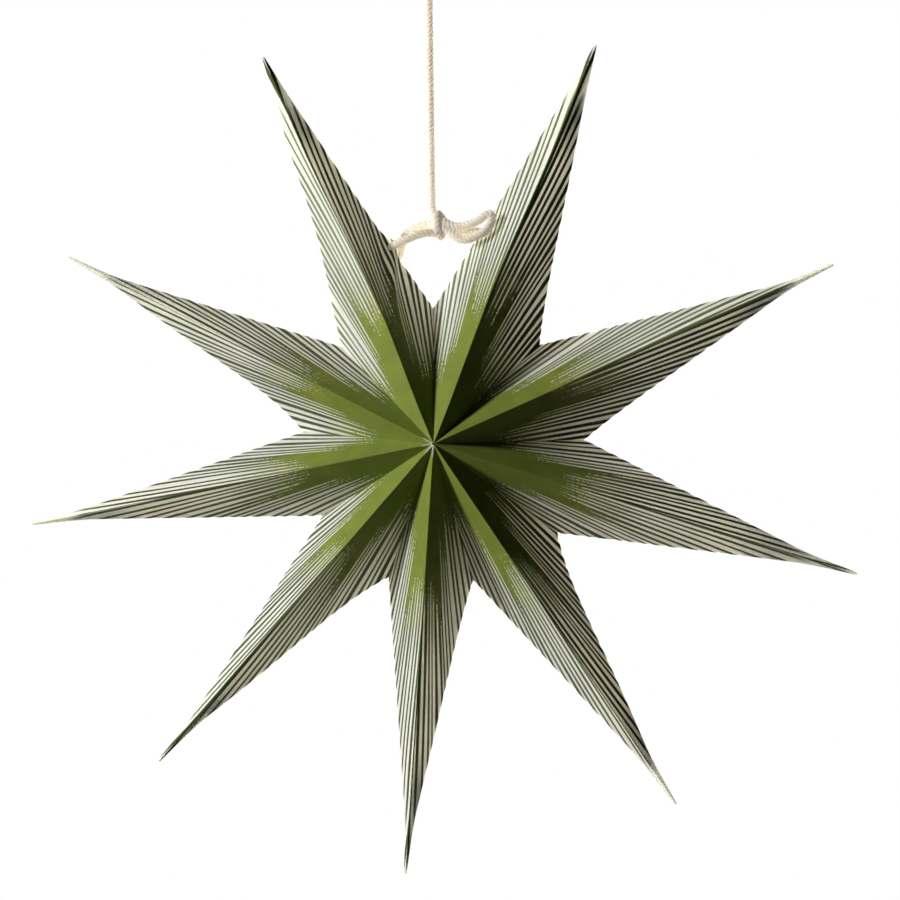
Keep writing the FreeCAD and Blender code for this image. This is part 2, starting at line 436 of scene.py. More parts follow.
# %% Shape one panel
SWELL = 0.7 * MM
DIP_SCALE = 12.2
DIPS = {(5, 1): 3.8, (7, 1): 3.4, (9, 1): 4.5, (2, 3): 1.6, (3, 3): 1.3, (6, 1): 1.3}
SWAYS = {(1, 0): 4.2, (1, 1): 3.5, (1, 3): -0.8, (2, 0): -2.8}
PULL_ALONG = 55.0 * MM
PULL_WIDTH = 7.0 * MM
PULL_OUT = 4.6 * MM
PULL_TURN = 17.5


def bent(index, corner, place, share):
    """Moves a place on a ridge or crease by the dip and the sway of that fold."""
    out = direction(POINTS[index][0])
    aside = out.cross(TOWARDS_BACK)
    dip = DIPS.get((index + 1, corner), 0.0) * MM
    inwards = -aside if (place.dot(aside) > 0) else aside
    place = place + inwards * dip * DIP_SCALE * share * (1 - share) ** 4
    sway = SWAYS.get((index + 1, corner), 0.0) * MM
    return place + Vector((1, 0, 0)) * sway * math.sin(math.pi * min(1.0, share * 1.3)) ** 2


def panel_places(index, ridge_number, crease_number):
    """A grid of places, and for each its distance from the ridge line and along it."""
    root, needle, tip = point_rings(index)
    ridge = (root[ridge_number], needle[ridge_number], tip[ridge_number])
    crease = (root[crease_number], needle[crease_number], tip[crease_number])
    ridge_way = (ridge[1] - ridge[0]).normalized()
    flat = ridge_way.cross(crease[0] - ridge[0]).normalized()
    across = flat.cross(ridge_way)
    outwards = flat if flat.y * ridge[0].y > 0 else -flat
    phase = 1.7 * index + 2.3 * ridge_number + 0.9 * crease_number
    valley = (crease[0] - ridge[0]).normalized()
    grid = []
    for row in range(ROWS + 1):
        share = (row / ROWS) ** ROOT_POWER
        straight_ridge = along_fold(share, *ridge)
        straight_crease = along_fold(share, *crease)
        on_ridge = bent(index, ridge_number, straight_ridge, share)
        on_crease = bent(index, crease_number, straight_crease, share)
        if index == 0 and crease_number == 3:
            walked = (on_crease - crease[0]).length
            pull = PULL_OUT * math.exp(-((walked - PULL_ALONG) / PULL_WIDTH) ** 2)
            on_crease = on_crease + direction(PULL_TURN) * pull
        line = []
        for column in range(COLUMNS + 1):
            part = column / COLUMNS
            if row == 0:
                if column == 0:
                    place = ridge[0] + ridge_way * CENTRE_GAP
                else:
                    first = 1 / COLUMNS
                    reached = (part - first) / (1 - first)
                    start = ridge[0] + valley * CENTRE_GAP
                    place = start.lerp(crease[0], reached)
            else:
                place = on_ridge.lerp(on_crease, part)
                swell = math.sin(math.pi * part) * math.sin(math.pi * share)
                wave = 0.6 * math.sin(5.1 * share + phase) + 0.4 * math.sin(9.7 * share - phase)
                place = place + outwards * SWELL * swell * (0.35 + wave)
            offset = straight_ridge.lerp(straight_crease, part) - ridge[0]
            if row == 0:
                offset = place - ridge[0]
            line.append((place, offset.dot(across), offset.dot(ridge_way)))
        grid.append(line)
    return grid, outwards


print("panels swell by up to", SWELL / MM, "mm")

# %% [markdown]
# The print follows the folds, so it needs places on the paper, not in space. The map named
# print holds how far a spot is from its ridge and how far along that ridge it is, in metres.
# Numbers on each face tell the outer side from the inner one, give each panel its own random
# pattern, and say how wide the dark band on its ridge is, there and at the tip (below zero: none).
# One more number paints light and shade into the ink. Below zero the panel faces the lamp and its
# far ink is paler. Above zero the panel is shaded, its lines are wider and its far ink is darker.
# Solidify then gives the sheet its thickness, towards the inside.

# %% Build the nine sheets
SEED_STEP = 7.31
FIRST_WORN = 5
BACK_BAND_SHARE = 0.5
SAME_PLACE = 0.02 * MM
RIDGE_BANDS = (0.8, 2.2, 1.8, 1.2, 0.6, 1.0, 1.6, 0.3, 0.3)
TIP_BANDS = (1.6, 1.2, -1.0, 0.8, -1.0, 1.2, 1.4, -1.0, -1.0)
# Painted light and shade in the ink, by point and crease. Below zero the panel faces the lamp and
# its far ink is paler. Above zero the panel is shaded, its lines are wider and its far ink is
# darker.
PAINTED_LIGHT_INK = {(1, 1): -0.10, (1, 3): 0.04, (2, 1): -0.06, (2, 3): 0.10, (3, 1): -0.06,
             (3, 3): 0.10, (4, 1): 0.04, (5, 1): 0.08}


def build_point(index):
    """The folded sheet of one point, with thickness, as an object at the origin."""
    mesh = bpy.data.meshes.new(f"sheet_{index + 1}")
    built = bmesh.new()
    print_map = built.loops.layers.uv.new("print")
    seed_layer = built.faces.layers.float.new("panel_seed")
    printed_layer = built.faces.layers.float.new("printed")
    worn_layer = built.faces.layers.float.new("worn")
    band_layer = built.faces.layers.float.new("ridge_band")
    tip_layer = built.faces.layers.float.new("tip_band")
    painted_light_layer = built.faces.layers.float.new("painted_light_ink")
    corners = {}

    def corner_at(place):
        key = tuple(round(part / (0.01 * MM)) for part in place)
        if key not in corners:
            corners[key] = built.verts.new(place + STAR_PLACE)
        return corners[key]

    def add_face(spots, outwards, seed, printed, worn, painted_light=0.0):
        listed = []
        maps = {}
        for place, across, along in spots:
            vertex = corner_at(place)
            if vertex not in listed:
                listed.append(vertex)
                maps[vertex] = (across, along)
        if len(listed) < 3:
            return
        face = built.faces.new(listed)
        face.normal_update()
        if face.normal.dot(outwards) < 0:
            face.normal_flip()
        face.smooth = True
        face[seed_layer] = seed
        face[printed_layer] = printed
        face[worn_layer] = worn
        face[band_layer] = RIDGE_BANDS[index] * (1.0 if seed % 2 < 1 else BACK_BAND_SHARE)
        face[tip_layer] = TIP_BANDS[index]
        face[painted_light_layer] = painted_light
        for loop in face.loops:
            loop[print_map].uv = maps[loop.vert]

    for ridge_number in (0, 2):
        for crease_number in (1, 3):
            grid, outwards = panel_places(index, ridge_number, crease_number)
            seed = SEED_STEP * (4 * index + ridge_number + (crease_number == 3))
            worn = 1.0 if ridge_number == 0 and index >= FIRST_WORN else 0.0
            painted_light = PAINTED_LIGHT_INK.get((index + 1, crease_number), 0.0)
            for upper, lower in zip(grid, grid[1:]):
                for column in range(COLUMNS):
                    spots = (upper[column], upper[column + 1], lower[column + 1], lower[column])
                    add_face(spots, outwards, seed, 1.0, worn, painted_light)
    middle = direction(POINTS[index][0]) * 0.05
    for side_notch in (notch(index - 1), notch(index)):
        add_flange(side_notch, middle, add_face)
    bmesh.ops.remove_doubles(built, verts=built.verts, dist=SAME_PLACE)
    tip = direction(POINTS[index][0]) * POINTS[index][1] * MM + STAR_PLACE
    open_end = []
    for edge in built.edges:
        middle_spot = (edge.verts[0].co + edge.verts[1].co) / 2
        if edge.is_boundary and (middle_spot - tip).length < 2 * TIP_HALF_DEPTH:
            open_end.append(edge)
    bmesh.ops.holes_fill(built, edges=open_end)
    bmesh.ops.recalc_face_normals(built, faces=built.faces)
    check = max(built.faces, key=lambda face: face[printed_layer] * face.calc_area())
    if check.normal.y * (check.calc_center_median().y) < 0:
        bmesh.ops.reverse_faces(built, faces=built.faces)
    built.to_mesh(mesh)
    built.free()
    return mesh


def add_flange(side_notch, middle, add_face):
    """The strip that is glued to the neighbour, in the plane of the valley."""
    along = side_notch.normalized()
    across = along.cross(TOWARDS_BACK)
    if across.dot(middle) < 0:
        across = -across
    slope = math.atan2(HALF_DEPTH, side_notch.length)
    inner_notch = along * (side_notch.length - FLANGE / math.sin(slope))
    inner_depth = HALF_DEPTH - FLANGE / math.cos(slope)
    first = 1 / COLUMNS
    for sign in (-1, 1):
        ridge_end = TOWARDS_BACK * HALF_DEPTH * sign
        inner_end = TOWARDS_BACK * inner_depth * sign
        valley = (side_notch - ridge_end).normalized()
        start = ridge_end + valley * CENTRE_GAP
        inner_start = inner_end + along * CENTRE_GAP
        for column in range(1, COLUMNS):
            spots = []
            for part in (column / COLUMNS, (column + 1) / COLUMNS):
                reached = (part - first) / (1 - first)
                outer_spot = start.lerp(side_notch, reached)
                spots.append((outer_spot, inner_start.lerp(inner_notch, reached)))
            outer = [(spots[0][0], 0.0, 0.0), (spots[1][0], 0.0, 0.0)]
            inner = [(spots[1][1], 0.0, 0.0), (spots[0][1], 0.0, 0.0)]
            add_face(outer + inner, -across, 0.0, 0.0, 0.0)


sheets = []
for index in range(len(POINTS)):
    mesh = build_point(index)
    sheet = bpy.data.objects.new(f"folded_sheet_{index + 1}", mesh)
    scene.collection.objects.link(sheet)
    sheets.append(sheet)
print("sheets:", len(sheets), "faces on the first:", len(sheets[0].data.polygons))

# %% [markdown]
# Solidify gives each sheet its thickness towards the inside, and two sheets get the punched
# hole that the cord goes through. The result is made a plain mesh, so that nothing is left
# to be worked out later, and the folds stay sharp while the panels are shaded smoothly.

# %% Give the sheets their thickness and holes
SHARP_FOLD = math.radians(24)


def plain_mesh(thing):
    """What an object's modifiers make of it, as a mesh of its own."""
    seen = thing.evaluated_get(bpy.context.evaluated_depsgraph_get())
    return bpy.data.meshes.new_from_object(seen)


def hole_cutter(place):
    built = bmesh.new()
    bmesh.ops.create_cone(
        built, cap_ends=True, segments=28, radius1=HOLE_RADIUS, radius2=HOLE_RADIUS, depth=0.2
    )
    turn = Matrix.Rotation(math.radians(90), 4, "X")
    middle = Vector((place[0] * MM, place[2], place[1] * MM))
    bmesh.ops.transform(built, matrix=Matrix.Translation(middle) @ turn, verts=built.verts)
    mesh = bpy.data.meshes.new("cutter")
    built.to_mesh(mesh)
    built.free()
    cutter = bpy.data.objects.new("cutter", mesh)
    scene.collection.objects.link(cutter)
    return cutter


for number, sheet in enumerate(sheets, 1):
    wall = sheet.modifiers.new("thickness", "SOLIDIFY")
    wall.thickness = PAPER
    wall.offset = -1.0
    wall.use_even_offset = True
    wall.material_offset_rim = 0
    cutters = [hole_cutter(place) for place in HOLES.get(number, ())]
    for cutter in cutters:
        cut = sheet.modifiers.new("punched_hole", "BOOLEAN")
        cut.object = cutter
        cut.operation = "DIFFERENCE"
        cut.solver = "EXACT"
    finished = plain_mesh(sheet)
    sheet.modifiers.clear()
    sheet.data = finished
    finished.set_sharp_from_angle(angle=SHARP_FOLD)
    for cutter in cutters:
        bpy.data.objects.remove(cutter)
triangles = sum(len(face.vertices) - 2 for face in sheets[0].data.polygons)
print("triangles on the first sheet:", triangles)

# %% [markdown]
# The print. Green ink covers the paper solidly round the star's middle. From there stripes of bare
# paper start, with a dry and broken start. They spread like rays from a place behind the middle,
# close together near the ridge and wider apart towards the valley, and they start in three steps:
# first those near the valley, then those between, last those near the ridge. The ink is leaf green
# in the middle, yellower where the stripes start and blackish green farther out. Light and shade
# are painted into it too: farther out it is paler on the panels that face the lamp, and darker
# with wider lines on the shaded ones. All of it is sums on the two numbers of the print map.

# %% Values of the print, in millimetres on the paper
RAYS_BEHIND = 36.0
RAYS_ASIDE = 4.5
RAY_STEP = 0.0215
WIDE_RAY_STEP = 0.034
WIDE_FROM = 0.24
PANEL_SHIFT = 0.04
DRIFT = 1.1
WEDGE_FROM = 0.105
SECOND_STEP = 0.170
FIRST_STEP = 0.230
START_NEAR_RIDGE = 98.0
START_BETWEEN = 72.0
START_NEAR_VALLEY = 50.0
WEDGE_DELAY = 26.0
START_CHANCE = 9.0
STREAK_THROW = 40.0
DOT_THROW = 60.0
INK_SHARE = 0.44
INK_AT_START = 0.24
INK_UNEVEN = 0.26
INK_LESS_FAR_OUT = 0.14
GROWTH = 62.0
LESS_GROWTH_NEAR_VALLEY = 34.0
LINE_SOFTNESS = 0.035
BAND_SOFTNESS = 0.25
BAND_CHANGE = (262.0, 292.0)
PALE_TIP = (256.0, 280.0)
FILM_END = (112.0, 158.0)
FILM_SHARE = 0.12
CLOUD_THROW = 40.0
DARK_FROM = 128.0
DARK_NEARER_VALLEY = 52.0
DARK_NEARER_BETWEEN = 22.0
DARK_SOFTNESS = 22.0
GREEN = colour(135, 149, 60)
LIME = colour(150, 158, 64)
# The next colour is painted light: the paler far ink on panels that face the lamp.
PAINTED_LIT_INK = colour(134, 146, 114)
BLACKISH = colour(90, 98, 68)
# The next colour is painted shade: the near-black far ink on shaded panels.
PAINTED_SHADED_INK = colour(42, 44, 28)
RIDGE_GREEN = colour(84, 98, 44)
PAPER_FRONT = colour(248, 248, 234)
PAPER_INSIDE = colour(236, 230, 214)


def print_recipe(recipe):
    """Returns how much bare paper shows, how much ink film lies on it and the ink's colour, and
    the distances from the ridge and along it, and the panel's seed."""
    mapped = recipe.put("ShaderNodeUVMap", {"uv_map": "print"})
    apart = recipe.put("ShaderNodeSeparateXYZ", None, {0: mapped}, None)
    across = recipe.math("ABSOLUTE", Value(recipe, apart.outputs["X"])) / MM
    along = Value(recipe, apart.outputs["Y"]) / MM
    seed = recipe.attribute("panel_seed")

    def random(*parts):
        return recipe.put("ShaderNodeTexWhiteNoise", {"noise_dimensions": "3D"},
                          {"Vector": recipe.vector(*parts)}, "Value")

    shift = (random(seed, 1.5, 0.5) - 0.5) * PANEL_SHIFT
    ray = (across + RAYS_ASIDE) / (along + RAYS_BEHIND) + shift
    close = ray / RAY_STEP
    wide = (ray - WIDE_FROM) / WIDE_RAY_STEP + WIDE_FROM / RAY_STEP
    drift = recipe.noise(recipe.vector(ray * 22.0, along * 0.004, seed), 1.0, 1.0) - 0.5
    counted = recipe.math("MINIMUM", close, wide) + drift * DRIFT

    stripe = recipe.math("FLOOR", counted)
    inside = counted - stripe
    to_ink = recipe.math("MINIMUM", inside, 1 - inside)
    chance = random(stripe, seed, 0.5)

    between = recipe.math("GREATER_THAN", ray, SECOND_STEP)
    near_valley = recipe.math("GREATER_THAN", ray, FIRST_STEP)
    wedge = recipe.step(ray, WEDGE_FROM, SECOND_STEP) * (1 - between)
    start = START_NEAR_RIDGE + wedge * WEDGE_DELAY
    start = start + between * (START_BETWEEN - START_NEAR_RIDGE)
    start = start + near_valley * (START_NEAR_VALLEY - START_BETWEEN) + chance * START_CHANCE
    streaks = recipe.noise(recipe.vector(across * 2.6, along * 0.30, seed), 1.0, 3.0) - 0.5
    dots = recipe.noise(recipe.vector(across * 0.8, along * 0.7, seed + 1.0), 1.0, 1.0) - 0.5
    thrown = along + streaks * STREAK_THROW + dots * DOT_THROW
    started = recipe.step(thrown, start - 3.0, start + 3.0)

    grown = start + GROWTH - near_valley * LESS_GROWTH_NEAR_VALLEY
    beyond_start = recipe.step(along, start, grown)
    ragged = recipe.noise(recipe.vector(across * 0.9, along * 0.35, seed + 3.0), 1.0, 3.0) - 0.5
    uneven = recipe.noise(recipe.vector(counted * 0.7, along * 0.012, seed + 9.0), 1.0, 1.0) - 0.5
    # The face's painted light and shade: shaded panels get wider lines, and the far ink is paler
    # on lit panels and darker on shaded ones.
    painted_light = recipe.attribute("painted_light_ink")
    share = recipe.math("MAXIMUM", painted_light, 0.0) + INK_SHARE
    share = share + INK_AT_START * (1 - beyond_start) + uneven * INK_UNEVEN
    share = share - INK_LESS_FAR_OUT * recipe.step(along, 190.0, 270.0)
    ink_half = share * 0.5 + ragged * 0.09
    bare = recipe.step(to_ink, ink_half - LINE_SOFTNESS, ink_half + LINE_SOFTNESS)
    band = recipe.attribute("ridge_band")
    tip_band = recipe.attribute("tip_band")
    band = band + (tip_band - band) * recipe.step(along, *BAND_CHANGE)
    on_ridge = recipe.step(across + ragged * 0.8, band - BAND_SOFTNESS, band + BAND_SOFTNESS)
    pale_tip = recipe.step(along, *PALE_TIP)
    bare = recipe.math("MAXIMUM", bare * started, pale_tip) * on_ridge

    cloud = recipe.noise(recipe.vector(across * 0.05, along * 0.03, seed + 5.0), 1.0, 3.0)
    clouded = along + (cloud - 0.5) * CLOUD_THROW
    film = 1 - recipe.step(clouded, *FILM_END)
    film = film * (1 - near_valley) * (FILM_SHARE + streaks * 0.8)
    yellow = recipe.step(along, 62.0, 104.0) * recipe.step(cloud, 0.38, 0.62)
    ink = recipe.blend(yellow, GREEN, LIME)
    first_dark = DARK_FROM - near_valley * DARK_NEARER_VALLEY
    first_dark = first_dark - between * (1 - near_valley) * DARK_NEARER_BETWEEN
    darker = recipe.step(clouded, first_dark - DARK_SOFTNESS, first_dark + DARK_SOFTNESS)
    # Painted light and shade: paler far ink on lamp-facing panels, near-black far ink on shaded
    # panels.
    dark = recipe.blend(recipe.step(painted_light, -0.1, 0.0), PAINTED_LIT_INK, BLACKISH)
    dark = recipe.blend(recipe.step(painted_light, 0.0, 0.1), dark, PAINTED_SHADED_INK)
    ink = recipe.blend(darker, ink, dark)
    ink = recipe.blend((1 - on_ridge) * recipe.step(along, 90.0, 120.0), ink, RIDGE_GREEN)
    return bare, film, ink, across, along, seed


# %% [markdown]
# The sheet's finish: matt cotton paper with short fibres in it, and ink that lies on it as a
# thick film. Paper lets light through where it is bare, and that is why the stripes glow on
# the dark sides. Subsurface scattering in a wall of the paper's real thickness does the same,
# a plain translucent surface does it in the narrow needles, and an opaque one is the ink.

# %% Mix the printed paper
PAPER_SHADE = colour(243, 242, 227)
FILM_STAIN = colour(150, 152, 84)
DEEP_INK = colour(60, 78, 22)
FIBRE_SCALE = 900.0
MOTTLE_SCALE = 60.0
NEEDLE_FROM = (215.0, 250.0)
LIGHT_DEPTH = 3.0 * MM
LIGHT_THROUGH = 0.92
LIGHT_TINT = (1.0, 0.985, 0.94, 1.0)
NEEDLE_GLOW = 0.13
NEEDLE_TINT = (0.9, 0.92, 0.95, 1.0)


def printed_paper():
    material, recipe = new_material("printed_paper")
    bare, film, ink, across, along, seed = print_recipe(recipe)
    place = recipe.put("ShaderNodeTexCoord", out="Object")
    fibres = recipe.noise(place, FIBRE_SCALE, 3.0)
    mottle = recipe.noise(place, MOTTLE_SCALE, 4.0)
    paper = recipe.blend(recipe.step(mottle, 0.3, 0.7), PAPER_SHADE, PAPER_FRONT)
    deeper = recipe.step(mottle, 0.25, 0.75) * 0.22
    ink = recipe.blend(deeper, ink, DEEP_INK)
    printed = recipe.attribute("printed")
    worn = recipe.attribute("worn")
    crumbs = recipe.noise(recipe.vector(across * 1.5, along * 0.8, seed), 1.0, 3.0)
    cracked = 1 - recipe.step(across - (crumbs - 0.5) * 2.0, 0.6, 0.95)
    cracked = cracked * (1 - recipe.step(along + crumbs * 6.0, 9.0, 15.0)) * worn
    printed = recipe.step(printed, 0.4, 0.6)
    stained = recipe.blend(film * printed, paper, FILM_STAIN)
    shown = recipe.blend(printed, PAPER_INSIDE, stained)
    open_paper = recipe.math("MAXIMUM", recipe.math("MAXIMUM", bare, cracked), 1 - printed)
    in_needle = recipe.step(along, *NEEDLE_FROM)
    bump = recipe.put(
        "ShaderNodeBump", None, {"Height": fibres, "Strength": 0.25, "Distance": 0.0002}, "Normal"
    )
    fibrous = recipe.put("ShaderNodeBsdfPrincipled", None, {
        "Base Color": shown,
        "Roughness": 0.9,
        "Normal": bump,
        "Specular IOR Level": 0.2,
        "Subsurface Weight": 1.0,
        "Subsurface Radius": (1.0, 0.94, 0.84),
        "Subsurface Scale": LIGHT_DEPTH,
    })
    matt = recipe.put("ShaderNodeBsdfDiffuse", None, {"Color": shown})
    glowing = recipe.put("ShaderNodeBsdfTranslucent", None, {"Color": NEEDLE_TINT})
    thin = recipe.put("ShaderNodeMixShader", None, {0: NEEDLE_GLOW, 1: matt, 2: glowing})
    fibrous = recipe.put("ShaderNodeMixShader", None, {0: in_needle, 1: fibrous, 2: thin})
    inked = recipe.put("ShaderNodeBsdfPrincipled", None, {
        "Base Color": ink, "Roughness": 0.62, "Normal": bump, "Specular IOR Level": 0.25,
    })
    solid = recipe.put("ShaderNodeMixShader", None, {0: open_paper, 1: inked, 2: fibrous})
    finish_material(
        recipe, let_light_through(recipe, solid, open_paper * LIGHT_THROUGH, LIGHT_TINT)
    )
    return material


paper_finish = printed_paper()
for number, sheet in enumerate(sheets, 1):
    sheet.data.materials.clear()
    sheet.data.materials.append(paper_finish)
    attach(sheet, "root")
    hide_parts(f"point_{number}")
print("printed", len(sheets), "sheets")

# %% [markdown]
# The cord. It is undyed cotton, three plies twisted together, about 5 mm thick. Its stretches
# follow the same points, in millimetres, as the solids of the part: up to the hook, the loop
# on the hook, the loop through the first point's hole, the strand into the second point's
# hole and the bow. Each becomes one smooth spline. The strands near the knot lie a few
# millimetres off the solids, where the photo shows them, and the front one goes in at the
# first point's crease, through a notch of its own.

# %% Routes of the cord
ROUTES = {
    "hanging_cord": (
        (4.8, -2.0, -207.0),
        (1.5, -0.5, -200.3),
        (0.2, 0.0, -193.9),
        (0.0, 0.0, -40.0),
    ),
    "hanging_loop": (
        (-2.0, 0.0, -34.0),
        (-7.5, 0.0, -21.0),
        (-9.5, 0.0, -7.5),
        (-6.5, 0.0, 2.5),
        (6.5, 0.0, 2.5),
        (9.5, 0.0, -7.5),
        (7.5, 0.0, -21.0),
        (2.0, 0.0, -34.0),
    ),
    "tie_cord_left": (
        (4.1, -4.0, -215.0),
        (-1.0, -5.5, -214.6),
        (-4.5, -7.0, -215.1),
        (-10.2, -8.0, -216.6),
        (-16.1, -8.0, -219.2),
        (-21.9, -7.0, -221.4),
        (-26.5, -4.5, -223.0),
        (-30.0, 0.5, -225.0),
        (-31.0, 4.0, -228.5),
        (-29.8, 8.5, -231.0),
        (-27.5, 12.0, -232.8),
        (-25.0, 13.0, -230.0),
        (-23.8, 12.5, -225.0),
        (-22.4, 12.0, -219.6),
        (-19.4, 11.0, -214.2),
        (-14.5, 9.5, -210.8),
        (-8.6, 7.5, -208.4),
        (-2.0, 5.5, -207.8),
        (3.6, 3.0, -208.6),
    ),
    "tie_cord_right": (
        (7.8, 3.0, -210.7),
        (14.1, 4.5, -212.9),
        (21.0, 7.0, -214.2),
        (28.5, 10.4, -213.0),
        (32.6, 12.4, -212.8),
        (36.4, 11.7, -214.2),
        (38.8, 8.8, -215.8),
        (39.4, 4.6, -216.3),
        (41.6, 0.9, -218.0),
        (45.5, 0.0, -221.0),
    ),
    "bow_loop": (
        (8.6, -6.0, -206.8),
        (12.2, -7.5, -209.2),
        (16.4, -8.5, -211.4),
        (22.8, -9.5, -211.4),
        (28.6, -11.5, -210.2),
        (34.2, -13.0, -208.0),
        (39.0, -14.5, -204.2),
        (43.2, -15.5, -203.4),
        (44.2, -16.0, -207.8),
        (41.6, -16.0, -212.8),
        (37.0, -15.0, -216.8),
        (31.8, -13.5, -219.0),
        (26.2, -12.0, -221.0),
        (20.6, -10.5, -220.4),
        (15.0, -8.5, -216.2),
        (11.5, -7.0, -213.2),
        (8.8, -6.0, -211.0),
    ),
}


def turns(middle, radius, rise, count, start=0.0):
    """Places on a coil that stands along Z, twelve to a turn."""
    places = []
    for number in range(int(12 * count) + 1):
        turn = start + math.radians(30 * number)
        places.append((
            middle[0] + radius * math.cos(turn),
            middle[1] + radius * math.sin(turn),
            middle[2] + rise * (number / 12 - count / 2),
        ))
    return tuple(places)


KNOTS = {
    "tie_knot": (
        (
            (5.4, 3.4, -207.0),
            (5.2, 1.5, -202.4),
            (5.2, -3.5, -201.4),
            (4.9, -6.8, -204.5),
            (4.9, -7.2, -209.5),
            (5.2, -7.0, -212.6),
            (5.8, -5.8, -215.8),
            (6.8, -1.0, -217.4),
            (7.4, 3.0, -215.4),
            (6.4, 4.0, -211.5),
        ),
        (
            (3.4, 2.5, -206.6),
            (4.6, 0.0, -202.4),
            (6.2, -2.6, -202.6),
            (7.9, -3.4, -205.4),
            (9.6, -4.4, -208.4),
            (9.2, -5.0, -211.6),
            (8.0, -4.6, -214.8),
            (6.6, -2.0, -216.6),
        ),
    ),
    "loop_knot": (turns((0.0, 0.0, -37.0), 3.4, 4.6, 2.25),),
    "stop_knot": (turns((45.5, 0.0, -221.0), 2.0, 4.0, 1.25),),
}


def smooth_curve(name, routes):
    """One NURBS spline for each route, with its points as control points."""
    data = bpy.data.curves.new(name, "CURVE")
    data.dimensions = "3D"
    data.resolution_u = 24
    for route in routes:
        spline = data.splines.new("NURBS")
        spline.points.add(len(route) - 1)
        for point, place in zip(spline.points, route):
            point.co = (*(Vector(place) * MM), 1.0)
        spline.order_u = 3
        spline.use_endpoint_u = True
    return data


print("stretches:", len(ROUTES), "knots:", len(KNOTS))

# %% [markdown]
# Geometry Nodes twist the plies. The spline is cut into short even steps, and each of three
# copies is moved off it by a turning offset, once round for each twist length. A small circle
# run along each copy gives a ply. Two numbers are kept on the ply, how far along the cord and
# how far round the ply a spot is, and the finish draws the fine yarns from them.

# %% Twist three plies along a spline
PLY_RADIUS = 1.76
PLY_OFFSET = 1.40
TAUT_SHARE = 0.79
TWIST_LENGTH = 9.2
CORD_STEP = 0.55
PLY_SIDES = 10
COTTON_GLOW = (1.0, 0.97, 0.93, 1.0)
COTTON_DARK = colour(244, 237, 222)
COTTON_LIGHT = colour(251, 247, 238)
# The next colour is painted shade for the grooves between the yarns.
COTTON_GROOVE_SHADE = colour(206, 188, 158)
YARN_LENGTH = 2.6
COTTON_THROUGH = 0.24
COTTON_SHADOW = 0.6


def twist_tree():
    tree = bpy.data.node_groups.new("twisted_cord", "GeometryNodeTree")
    face = tree.interface
    face.new_socket("Geometry", in_out="INPUT", socket_type="NodeSocketGeometry")
    for name in ("Ply radius", "Ply offset", "Twist length", "Step"):
        face.new_socket(name, in_out="INPUT", socket_type="NodeSocketFloat")
    face.new_socket("Finish", in_out="INPUT", socket_type="NodeSocketMaterial")
    face.new_socket("Geometry", in_out="OUTPUT", socket_type="NodeSocketGeometry")
    recipe = Recipe(tree)
    given = recipe.put("NodeGroupInput", out=None)
    curve, ply_radius, ply_offset, twist, step, finish = (
        Value(recipe, given.outputs[number]) for number in range(6)
    )
    evened = recipe.put("GeometryNodeResampleCurve", {"mode": "LENGTH"},
                        {"Curve": curve, "Length": step})
    spot = recipe.put("GeometryNodeSplineParameter", out=None)
    length = Value(recipe, spot.outputs["Length"])
    number = {"data_type": "FLOAT", "domain": "POINT"}
    marked = recipe.put("GeometryNodeStoreNamedAttribute", number,
                        {"Geometry": evened, "Name": "along", "Value": length})
    normal = recipe.put("GeometryNodeInputNormal")
    tangent = recipe.put("GeometryNodeInputTangent")
    beside = recipe.put("ShaderNodeVectorMath", {"operation": "CROSS_PRODUCT"},
                        {0: tangent, 1: normal})
    circle = recipe.put("GeometryNodeCurvePrimitiveCircle", {"mode": "RADIUS"},
                        {"Resolution": PLY_SIDES, "Radius": ply_radius})
    around = recipe.put("GeometryNodeSplineParameter", out=0)
    profile = recipe.put("GeometryNodeStoreNamedAttribute", number,
                         {"Geometry": circle, "Name": "around", "Value": around})
    plies = recipe.put("GeometryNodeJoinGeometry", out=None)
    for which in range(3):
        turn = length / twist * math.tau + math.tau * which / 3
        first = recipe.put("ShaderNodeVectorMath", {"operation": "SCALE"},
                           {0: normal, "Scale": recipe.math("COSINE", turn) * ply_offset})
        second = recipe.put("ShaderNodeVectorMath", {"operation": "SCALE"},
                            {0: beside, "Scale": recipe.math("SINE", turn) * ply_offset})
        offset = recipe.put("ShaderNodeVectorMath", {"operation": "ADD"}, {0: first, 1: second})
        moved = recipe.put("GeometryNodeSetPosition", None, {"Geometry": marked, "Offset": offset})
        ply = recipe.put("GeometryNodeCurveToMesh", None,
                         {"Curve": moved, "Profile Curve": profile, "Fill Caps": True})
        tree.links.new(ply.socket, plies.inputs[0])
    joined = Value(recipe, plies.outputs[0])
    smooth = recipe.put("GeometryNodeSetShadeSmooth", None, {"Geometry": joined})
    real = recipe.put("GeometryNodeRealizeInstances", None, {"Geometry": smooth})
    dressed = recipe.put("GeometryNodeSetMaterial", None, {"Geometry": real, "Material": finish})
    recipe.put("NodeGroupOutput", None, {0: dressed}, None)
    return tree


